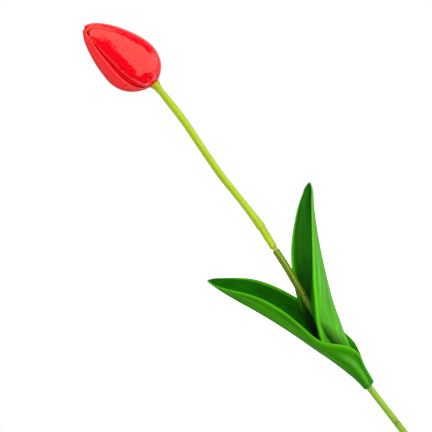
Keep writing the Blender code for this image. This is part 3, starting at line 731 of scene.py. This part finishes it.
def low_width(h):
    """Flattened half width of the low leaf at a height: what wraps the stem, and its growth."""
    return math.radians(SEAM_TURN) * (KEEL_BASE + FAR_BASE) / 2 + smooth(LOW_GROWTH, h)


def tall_width(h):
    """Flattened half width of the tall leaf at a height."""
    return smooth(TALL_WIDTH, h)


def low_looks(height, _, offset):
    """The low leaf's painted highlights on its margins, painted sheen and shade on its sheath,
    a painted shade line under its front margin, and painted light on its inside.
    """
    # A painted highlight along the margins.
    highlight = LOW_HIGHLIGHT * rise(np.abs(offset), *MARGIN_HIGHLIGHT_PLACE)
    # A painted sheen along the sheath, and painted shade towards its foot except under the sheen.
    sheen = bell(offset, *LOW_SHEEN_PLACE) * linear(LOW_SHEEN, height)
    shade = linear(LOW_SHADE, height) * (1 - sheen)
    # A painted shade line under the front margin's end, for the shadow of a notch.
    notch_shade = bell(offset, *LOW_NOTCH_SHADE_PLACE) * linear(LOW_NOTCH_SHADE, height)
    # Pale painted light on the inner face of the back half, low down.
    pale = linear(LOW_PAINTED_LIGHT, height) * rise(-offset, *LOW_PAINTED_LIGHT_PLACE)
    return {"highlight": highlight, "shade_and_sheen_strip": sheen, "shade": np.maximum(shade, notch_shade), "pale": pale}


def tall_looks(height, ways, offset):
    """The tall leaf's painted highlights on its ridge and back margin, and painted shade on its
    lip, its valley and its back half, with pale painted light higher on the back half.
    """
    front = ways < 0
    past_ridge = np.abs(ways) - np.array([tall_width(h) for h in height[:, 0]])[:, None]
    # Painted highlights: along the front's rolled ridge, and on the back margin higher up.
    ridge_highlight = bell(past_ridge, *TALL_RIDGE_PLACE)
    back_highlight = rise(offset, *MARGIN_HIGHLIGHT_PLACE) * linear(TALL_BACK_HIGHLIGHT, height)
    highlight = np.where(front, ridge_highlight, back_highlight)
    # Painted shade on the rolled lip past the ridge.
    shade_and_sheen_strip = np.where(front, rise(past_ridge, *TALL_LIP_SHADE_PLACE), 0)
    # Painted shade in a valley beside the lip's base, and on the back half low down.
    past = linear(TALL_VALLEY_PLACE, height) + offset
    across = rise(past, -TALL_VALLEY_EDGE, TALL_VALLEY_EDGE)
    across = across * (1 - rise(past, 0, linear(TALL_VALLEY_WIDTH, height)))
    valley = linear(TALL_VALLEY_SHADE, height) * across
    shade = np.where(ways > 0, linear(TALL_BACK_SHADE, height), valley)
    # Pale painted light on the back half's inner face, high up.
    pale = TALL_PAINTED_LIGHT_SHARE * rise(offset, *TALL_PAINTED_LIGHT_PLACE) * linear(TALL_PAINTED_LIGHT, height)
    return {"highlight": highlight, "shade_and_sheen_strip": shade_and_sheen_strip, "shade": shade, "pale": pale}


def make_leaves():
    """The low leaf with its sheath, and the tall leaf inside it."""
    back = {"swing": LOW_BACK_SWING}
    front = {"swing": LOW_FRONT_SWING}
    grid, ways = leaf_grid(LOW_DIRECTION, LOW_KEEL, low_width, LOW_TURN, LOW_FOLD, back, front)
    piece = make_leaf(
        "skin_low_leaf", grid, ways, low_looks, LOW_GREEN, "low_leaf_body", "low_leaf"
    )
    front = {"lip": TALL_LIP, "roll": TALL_ROLL, "dent": TALL_DENT}
    grid, ways = leaf_grid(TALL_DIRECTION, TALL_KEEL, tall_width, TALL_TURN, TALL_FOLD, front, {})
    piece = make_leaf(
        "skin_tall_leaf", grid, ways, tall_looks, TALL_GREEN, "tall_leaf_body", "tall_leaf"
    )


# The bud.


def bud_axes():
    """Origin on the bud's axis at its base, and its right, back and up directions."""
    lean = math.radians(BUD_LEAN)
    up = np.array((math.sin(lean), 0.0, math.cos(lean)))
    right = np.array((math.cos(lean), 0.0, -math.sin(lean)))
    back = np.array((0.0, 1.0, 0.0))
    return np.array(BUD_SEAT) - BUD_SEAT_RADIUS * up, right, back, up


def bud_profile(h):
    """Radius of the bud's egg at a height over its base."""
    if h < BUD_WAIST:
        share = ((BUD_WAIST - h) / BUD_WAIST) ** BUD_BASE_POWER
    else:
        share = ((h - BUD_WAIST) / BUD_POINT) ** BUD_POINT_POWER
    return BUD_RADIUS * max(1 - share, 0) ** BUD_BLUNTNESS


def bud_point(h, angle, scale, depth):
    """A point at a depth under the egg's surface, where scale draws the egg in."""
    origin, right, back, up = bud_axes()
    step = 0.05
    slope = scale * (bud_profile(h + step) - bud_profile(h - step)) / (2 * step)
    length = math.hypot(1, slope)
    radius = scale * bud_profile(h) - depth / length
    height = h + depth * slope / length
    a = math.radians(angle)
    side = smooth(BUD_BOW, h) + radius * math.sin(a)
    return origin + up * height + side * right - radius * math.cos(a) * back


def inner_depth(h):
    """Depth of the inner petals under the egg."""
    at_margins = PETAL_MARGIN_SHARE * PETAL_THICKNESS + SEAT_GAP
    at_ends = PETAL_THICKNESS + SEAT_GAP
    reach = BUD_WAIST if h < BUD_WAIST else BUD_POINT
    return at_margins + (at_ends - at_margins) * ((h - BUD_WAIST) / reach) ** 2


def make_petal(name, edges, drops, start, tip, tip_length, material):
    """A petal between two edges, given as functions of height, with thin rounded margins.

    Drops are how far its two margins draw in. An inner petal has none.
    """
    outer, inner, uvs, margins = [], [], [], []
    for i in range(PETAL_ROWS):
        h = start + (tip - start) * (1 - math.cos(math.pi * i / (PETAL_ROWS - 1))) / 2
        low, high = edges(min(h, tip - 1))
        middle = (low + high) / 2
        into_tip = min(max(1 - (tip - h) / tip_length, 0), 1)
        half = (high - low) / 2 * math.sqrt(1 - (TIP_ROUNDING * into_tip) ** 2)
        depth = 0 if drops else inner_depth(h)
        rows = ([], [], [], [])
        for c in range(PETAL_COLUMNS + 1):
            x = math.sin(math.pi * (c / PETAL_COLUMNS - 0.5))
            scale = 1 - sum(TUCKED_MARGIN)
            thin = 0.0
            if drops:
                crown, roll = drops[x > 0]
                scale = 1 - crown * x**2 - roll * x**ROLL_POWER
                thin = (1 - PETAL_MARGIN_SHARE) * PETAL_THICKNESS * x**THINNING_POWER
            angle = middle + half * x
            rows[0].append(bud_point(h, angle, scale, depth))
            rows[1].append(bud_point(h, angle, scale, depth + PETAL_THICKNESS - thin))
            rows[2].append((0.5 + 0.5 * x, h / BLADE_UV_LENGTH))
            # How near the margin or the tip a point lies, for the painted highlight there.
            rows[3].append(max(abs(x), 1 - (tip - h) / TIP_PALE_LENGTH))
        for values, row in zip((outer, inner, uvs, margins), rows):
            values.append(row)
    outer, inner, uvs = np.array(outer), np.array(inner), np.array(uvs)
    points, faces, all_uvs, side, border = shell(outer, inner, uvs)
    flat = np.array(margins).ravel()
    at_rim = [1.0 if 0 < r < PETAL_ROWS - 1 else 0.9 for r, _ in border]
    attributes = {"inside": side, "margin": np.concatenate((flat, flat, at_rim))}
    node = name.removeprefix("skin_")
    return make_piece(name, points, faces, all_uvs, attributes, material, "flower", node)


def between(first, second, turn):
    """Edges of an outer petal from one seam to the next, as a function of height."""

    def edges(h):
        low = smooth(first[0], h) + smooth(first[1], h) + turn
        high = smooth(second[0], h) - smooth(second[1], h)
        return low, high

    return edges


def around(centre):
    """Edges of an inner petal round a direction, the same at every height."""
    return lambda _: (centre - INNER_HALF_ANGLE, centre + INNER_HALF_ANGLE)


def make_petals():
    """The three outer petals and the three under them."""
    left, right, back = (LEFT_SEAM, LEFT_GAP), (RIGHT_SEAM, RIGHT_GAP), (BACK_SEAM, BACK_GAP)
    lapping = (TUCKED_MARGIN, LAPPING_MARGIN)
    tucked = (TUCKED_MARGIN, TUCKED_MARGIN)
    for name, edges, drops, tip, tip_length, material in (
        ("outer_petal_front", between(left, right, 0), lapping, 50.7, 3.5, RED),
        ("outer_petal_right", between(right, back, 0), tucked, 56.2, 0.8, RED),
        ("outer_petal_left", between(back, left, -360), tucked, 55.8, 0.8, LEFT_RED_PAINTED_LIGHT),
    ):
        piece = make_petal("skin_" + name, edges, drops, OUTER_START, tip, tip_length, material)

    for i in range(3):
        piece = make_petal(
            f"skin_inner_petal_{i + 1}", around(INNER_PETAL_TURN + 120 * i), None,
            INNER_START, INNER_TIP, INNER_TIP_LENGTH, INNER_RED,
        )


# The stem.


def tube(name, rows, inner_radius, sides, material, node, body=None, slit=0.0, direction=0.0):
    """A tube, a slit tube or a rod along the stem from (height, radius, wear and shade) rows.

    The inner radius is one for all rows, one for each, or none for a rod.
    """
    heights = np.array([row[0] for row in rows])
    centres = np.array([stem_point(h) for h in heights])
    alongs = np.array([stem_point(h + 0.5) - stem_point(h - 0.5) for h in heights])
    steps = sides + 1
    start = math.radians(direction + slit / 2)
    angles = start + np.linspace(0, math.radians(360 - slit), steps)
    back = np.array((0.0, 1.0, 0.0))
    skins = []
    for radii in ([row[1] for row in rows], inner_radius):
        if radii is None:
            continue
        skin = []
        for k, (centre, along) in enumerate(zip(centres, alongs)):
            along = along / np.linalg.norm(along)
            side = np.cross(back, along)
            radius = radii[k] if isinstance(radii, list) else radii
            ring = [centre + radius * (math.cos(a) * side + math.sin(a) * back) for a in angles]
            skin.append(ring)
        skins.append(np.array(skin))
    uvs = np.stack(
        np.broadcast_arrays(np.linspace(0, 1, steps)[None, :], heights[:, None] / STEM_UV_LENGTH),
        axis=2,
    ).astype(float)
    wear_and_shade = np.repeat(np.array([row[2] for row in rows])[:, None], steps, axis=1)
    # The slit's edges get painted shade, less near its top.
    if slit:
        drops, shares = zip(*SLIT_EDGE_SHADE)
        wear_and_shade[:, (0, -1)] = np.interp(heights, heights[-1] - np.array(drops), shares)[:, None]
    wear_and_shade = wear_and_shade.ravel()
    count = len(heights) * steps
    faces = []
    for layer in range(len(skins)):
        for r in range(len(heights) - 1):
            for c in range(sides):
                a = layer * count + r * steps + c
                quad = (a, a + 1, a + steps + 1, a + steps)
                faces.append(tuple(reversed(quad)) if layer == 0 else quad)
    points = np.concatenate([skin.reshape(-1, 3) for skin in skins])
    last = (len(heights) - 1) * steps
    if len(skins) == 1:
        faces.append(tuple(range(sides)))
        faces.append(tuple(last + c for c in reversed(range(sides))))
    else:
        for c in range(sides):
            faces.append((c, c + 1, count + c + 1, count + c))
            faces.append((count + last + c, count + last + c + 1, last + c + 1, last + c))
        if slit:
            for r in range(len(heights) - 1):
                a = r * steps
                faces.append((a, count + a, count + a + steps, a + steps))
                b = a + sides
                faces.append((b + steps, count + b + steps, count + b, b))
    all_uvs = np.concatenate([uvs.reshape(-1, 2)] * len(skins))
    attributes = {"wear_and_shade": np.concatenate([wear_and_shade] * len(skins))}
    return make_piece(name, points, faces, all_uvs, attributes, material, body, node, sharp=50)


def sleeve_rows(profile):
    """Rows of height, radius, and wear and shade for a sleeve's profile, with more rows between
    its own.
    """
    heights, walls, wear_and_shade = zip(*profile)
    added = set(np.arange(heights[0], heights[-1], SLEEVE_STEP))
    keep = [
        h for h in sorted(set(heights) | added)
        if h in heights or min(abs(h - corner) for corner in heights) > SLEEVE_LEAST_STEP
    ]
    radii = np.interp(keep, heights, [SLEEVE_BORE + wall for wall in walls])
    return list(zip(keep, radii, np.interp(keep, heights, wear_and_shade)))


def rounded(start, end, wall):
    """Profile of a sleeve with rounded ends."""
    return [
        (start, wall * 0.45, 0.8),
        (start + 0.15, wall * 0.8, 0.6),
        (start + 0.5, wall, 0.3),
        (start + 2.5, wall, 0.0),
        (end - 2.5, wall, 0.0),
        (end - 0.5, wall, 0.3),
        (end - 0.15, wall * 0.8, 0.6),
        (end, wall * 0.45, 0.8),
    ]


def wire_heights(low, high):
    """Heights along a length of wire, closer together where it bends."""
    heights = set(np.arange(low, high, WIRE_STEP)) | {high}
    for first, last in NECK_ZONES:
        heights |= set(np.arange(first, last, NECK_STEP))
    return [h for h in sorted(heights) if low <= h <= high]


def make_sleeves():
    """The four sleeves, from the foot up."""
    rows = sleeve_rows(FOOT_PROFILE)
    piece = tube("skin_foot", rows, SLEEVE_BORE, SLEEVE_SIDES, GREEN, "stem_foot", "foot")

    # The lower sleeve: worn ends, and painted shade higher up where the leaves shade it.
    rows = [
        (h, radius, max(wear_and_shade, linear(LOWER_LEAF_SHADE, h)))
        for h, radius, wear_and_shade in sleeve_rows(rounded(LOWER_NECK[1], INNER_NECK[0], LOWER_WALL))
    ]
    piece = tube("skin_lower", rows, SLEEVE_BORE, SLEEVE_SIDES, GREEN, "stem_lower", "stalk")

    # The middle sleeve: a share of its ends' wear, and painted shade low down where the leaves
    # shade it.
    rows = [
        (h, radius, max(wear_and_shade * MIDDLE_END_WEAR, linear(MIDDLE_LEAF_SHADE, h)))
        for h, radius, wear_and_shade in sleeve_rows(rounded(INNER_NECK[1], UPPER_NECK[0], MIDDLE_WALL))
    ]
    piece = tube(
        "skin_middle", rows, SLEEVE_BORE, SLEEVE_SIDES, OLIVE, "stem_middle", "stalk",
        SLIT_ANGLE, SLIT_DIRECTION,
    )

    rows = sleeve_rows(UPPER_PROFILE)
    bores = [
        SLEEVE_BORE if h < CUP_START else SLEEVE_BORE + (h - CUP_START) / CUP_DEPTH * CUP_FLARE
        for h, _, _ in rows
    ]
    piece = tube("skin_upper", rows, bores, SLEEVE_SIDES, LIME, "stem_upper", "flower")


def make_wires():
    """The coating and the wire in it, each drawn in two lengths, one round each of the two necks.
    """
    for name, low, high, first, second, (start, end) in (
        ("low", 0.0, WIRE_SPLIT, "foot", "stalk", LOWER_NECK),
        ("high", WIRE_SPLIT, CUP_START, "stalk", "flower", UPPER_NECK),
    ):
        heights = wire_heights(low, high)
        # The coating gets painted shade where it shows in the slit.
        rows = [(h, COATING_RADIUS, float(linear(COATING_SLIT_SHADE, h))) for h in heights]
        coat = tube("coating_" + name, rows, COATING_BORE, COATING_SIDES, COATING, "wire_coating")
        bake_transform(coat)
        rows = [(h, WIRE_RADIUS, 0.0) for h in heights]
        wire = tube("wire_" + name, rows, None, WIRE_SIDES, STEEL, "core_wire")
        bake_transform(wire)


# Stage, camera and light.


def make_floor():
    """A pale floor that is white where it is seen, and keeps a soft shadow."""
    turns = ((-1, -1), (1, -1), (1, 1), (-1, 1))
    corners = [(x * FLOOR_HALF, y * FLOOR_HALF, 0) for x, y in turns]
    mesh = bpy.data.meshes.new("floor")
    mesh.from_pydata(corners, [], [(0, 1, 2, 3)])
    floor = bpy.data.objects.new("floor", mesh)
    floor.location.z = -FLOOR_DROP
    bpy.context.scene.collection.objects.link(floor)
    s = Shader("floor_paper", 0.9)
    s.shader.inputs["Base Color"].default_value = (0.85, 0.85, 0.85, 1)
    path = s.node("LightPath")
    place = s.node("TexCoord").outputs["Object"]
    distance = s.node("VectorMath", {"operation": "LENGTH"}, i0=place).outputs["Value"]
    (near, far), (low, high) = GLOW_DISTANCES, GLOW_STRENGTHS
    strength = s.node("MapRange", i0=distance, i1=near, i2=far, i3=low, i4=high).outputs[0]
    glow = s.node("Emission", Color=(1, 1, 1, 1), Strength=strength)
    seen = path.outputs["Is Camera Ray"]
    for kind in ("Is Glossy Ray", "Is Transmission Ray"):
        seen = s.math("MAXIMUM", seen, path.outputs[kind])
    dark = s.node("Emission", Color=(0, 0, 0, 1), Strength=0.0)
    light = s.node("MixShader", i0=seen, i1=dark.outputs[0], i2=glow.outputs[0])
    both = s.node("AddShader", i0=s.shader.outputs[0], i1=light.outputs[0])
    s.links.new(both.outputs[0], s.nodes["Material Output"].inputs[0])
    mesh.materials.append(s.material)


def make_world():
    """White where it is seen, with a soft room light that is brighter behind the object."""
    world = bpy.data.worlds.new("studio")
    bpy.context.scene.world = world
    world.use_nodes = True
    nodes, links = world.node_tree.nodes, world.node_tree.links
    background = nodes["Background"]
    path = nodes.new("ShaderNodeLightPath")
    place = nodes.new("ShaderNodeTexCoord")
    split = nodes.new("ShaderNodeSeparateXYZ")
    links.new(place.outputs["Generated"], split.inputs[0])
    ramp = nodes.new("ShaderNodeMapRange")
    limits = {"From Min": -0.4, "From Max": 0.7, "To Min": 0.30, "To Max": 0.85}
    for socket, value in limits.items():
        ramp.inputs[socket].default_value = value
    links.new(split.outputs["Y"], ramp.inputs["Value"])
    seen = path.outputs["Is Camera Ray"]
    for kind in ("Is Glossy Ray", "Is Transmission Ray"):
        either = nodes.new("ShaderNodeMath")
        either.operation = "MAXIMUM"
        links.new(seen, either.inputs[0])
        links.new(path.outputs[kind], either.inputs[1])
        seen = either.outputs[0]
    mix = nodes.new("ShaderNodeMix")
    links.new(seen, mix.inputs[0])
    links.new(ramp.outputs[0], mix.inputs[2])
    mix.inputs[3].default_value = 1.0
    links.new(mix.outputs[0], background.inputs["Strength"])
    background.inputs["Color"].default_value = (1, 1, 1, 1)


def make_light(name, azimuth, elevation, width, height, radiance):
    """A rectangular soft light with a given brightness, unseen by the camera and in the gloss.

    Azimuth 0 is the camera's side and 90 is +X.
    """
    a, e = math.radians(azimuth), math.radians(elevation)
    place = (
        LIGHT_DISTANCE * math.sin(a) * math.cos(e),
        -LIGHT_DISTANCE * math.cos(a) * math.cos(e),
        LIGHT_TARGET[2] + LIGHT_DISTANCE * math.sin(e),
    )
    light = bpy.data.lights.new(name, "AREA")
    light.shape = "RECTANGLE"
    light.size = width
    light.size_y = height
    light.energy = radiance * math.pi * width * height
    item = bpy.data.objects.new(name, light)
    item.location = place
    aim = Vector(LIGHT_TARGET) - Vector(place)
    item.rotation_euler = aim.to_track_quat("-Z", "Y").to_euler()
    item.visible_camera = False
    item.visible_glossy = False
    bpy.context.scene.collection.objects.link(item)


def make_card(name, first, last, rings, glow):
    """A card round the object that shows in the gloss alone: bright, or dark as an unlit side.

    It spans two azimuths, and its rings are pairs of radius and height.
    """
    steps = max(int((last - first) / CARD_STEP), 2)
    azimuths = [math.radians(a) for a in np.linspace(first, last, steps + 1)]
    points = [
        (radius * math.sin(a), -radius * math.cos(a), height)
        for radius, height in rings
        for a in azimuths
    ]
    faces = []
    for r in range(len(rings) - 1):
        for c in range(steps):
            a = r * (steps + 1) + c
            faces.append((a, a + 1, a + steps + 2, a + steps + 1))
    mesh = bpy.data.meshes.new(name)
    mesh.from_pydata(points, [], faces)
    card = bpy.data.objects.new(name, mesh)
    bpy.context.scene.collection.objects.link(card)
    card.visible_camera = False
    card.visible_diffuse = False
    card.visible_transmission = False
    card.visible_shadow = False
    s = Shader(name + "_cloth", 1.0, Specular_IOR_Level=0.0, Emission_Strength=glow)
    s.shader.inputs["Base Color"].default_value = (0, 0, 0, 1)
    s.shader.inputs["Emission Color"].default_value = (1, 1, 0.7, 1)
    mesh.materials.append(s.material)


def screen(near):
    """Rings of a card that lies on the floor from a distance on, and stands up at the far end."""
    return [(near, CARD_LIFT), (ROOM_RADIUS, CARD_LIFT), (ROOM_RADIUS, ROOM_HEIGHT)]


def make_cards():
    """What the petals' gloss mirrors: the lit side, its window-like edges and the unlit rest."""
    ceiling = [(ROOM_RADIUS, ROOM_HEIGHT), (CARD_CENTRE, ROOM_HEIGHT)]
    underside = [(CARD_CENTRE, 2 * CARD_LIFT), (CARD_NEAR, 2 * CARD_LIFT)]
    for name, first, last, rings, glow in (
        ("card_main", -12, 93, screen(CARD_NEAR), BRIGHT),
        ("card_low", -30, -12, [(CARD_NEAR, CARD_LIFT), (FRONT_NEAR, CARD_LIFT)], BRIGHT),
        ("card_roof", -100, 93, ceiling, BRIGHT),
        ("card_vault", -180, -100, ceiling, UNLIT),
        ("card_front", -30, -12, screen(FRONT_NEAR), UNLIT),
        ("card_side", -88, -30, screen(CARD_NEAR), UNLIT),
        ("card_corner", -16, 8, [(1.0, 1.1), (1.0, 1.7)], UNLIT),
        ("card_left", -118, -88, screen(SIDE_NEAR), 0.8),
        ("card_under", -180, 180, underside, UNLIT),
        ("card_gap", 90, 121, [(ROOM_RADIUS, 0.32), (ROOM_RADIUS, 4.0)], UNLIT),
        ("card_right", 121, 180, screen(SIDE_NEAR), 0.45),
        ("card_back", -180, -118, screen(SIDE_NEAR), 0.15),
    ):
        make_card(name, first, last, rings, glow)


def make_camera():
    """The photograph's camera, level with the middle of the stem and rolled to the left."""
    data = bpy.data.cameras.new("camera")
    data.lens = CAMERA_LENS
    data.sensor_width = CAMERA_SENSOR
    camera = bpy.data.objects.new("camera", data)
    roll = math.radians(CAMERA_ROLL)
    right = (math.cos(roll), 0, -math.sin(roll))
    up = (math.sin(roll), 0, math.cos(roll))
    back = (0, -1, 0)
    rows = [(*axes, place) for *axes, place in zip(right, up, back, CAMERA_PLACE)]
    camera.matrix_world = Matrix(rows + [(0, 0, 0, 1)])
    bpy.context.scene.collection.objects.link(camera)
    bpy.context.scene.camera = camera


make_petals()
make_sleeves()
make_wires()
make_leaves()

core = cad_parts["bud_core"]
for held in core.material_slots:
    held.material = FOAM

make_floor()
make_world()
make_cards()
make_light("softbox", azimuth=37, elevation=16, width=3.1, height=4.2, radiance=1.7)
make_light("fill", azimuth=-64, elevation=5, width=1.6, height=2.4, radiance=0.65)
make_camera()
bpy.context.scene.view_settings.view_transform = "Standard"
